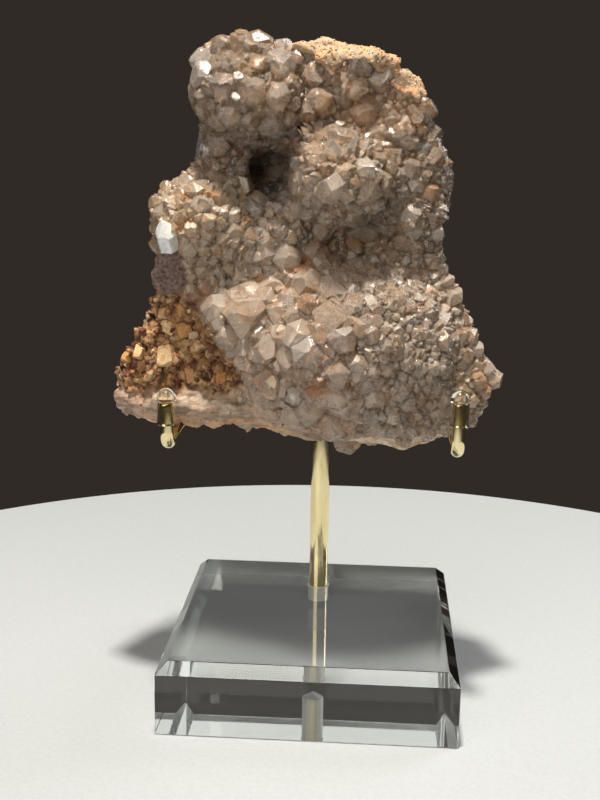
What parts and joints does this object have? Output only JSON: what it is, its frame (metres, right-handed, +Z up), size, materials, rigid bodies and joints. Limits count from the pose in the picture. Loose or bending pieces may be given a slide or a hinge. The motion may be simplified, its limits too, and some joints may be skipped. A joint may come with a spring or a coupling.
{
  "type": "amethyst specimen",
  "caption": "Lobed amethyst and quartz druse on raw matrix, upright on two bent brass arms with soft tip caps, on a post in a bevelled clear acrylic block.",
  "frame": {"origin": "centre of the clear block's underside", "axes": "+Z up, along the post; +Y from the druse's face to the back, where the post stands; +X to the right of someone looking at the druse"},
  "size_m": [0.1194, 0.0888, 0.2024],
  "materials": {
    "quartz_druse": "glassy translucent beige-grey crystal points with iron-brown stain between them, on rough tan matrix",
    "clear_acrylic": "polished, clear, slightly grey; frosted drilled socket",
    "polished_brass": "polished pale yellow",
    "clear_soft_cap": "glossy clear soft plastic, slightly yellow"
  },
  "bodies": {
    "root": {"specimen": "quartz_druse", "acrylic_base": "clear_acrylic", "post": "polished_brass", "left_arm": "polished_brass", "right_arm": "polished_brass", "left_sleeve": "clear_soft_cap", "right_sleeve": "clear_soft_cap"}
  },
  "joints": []
}
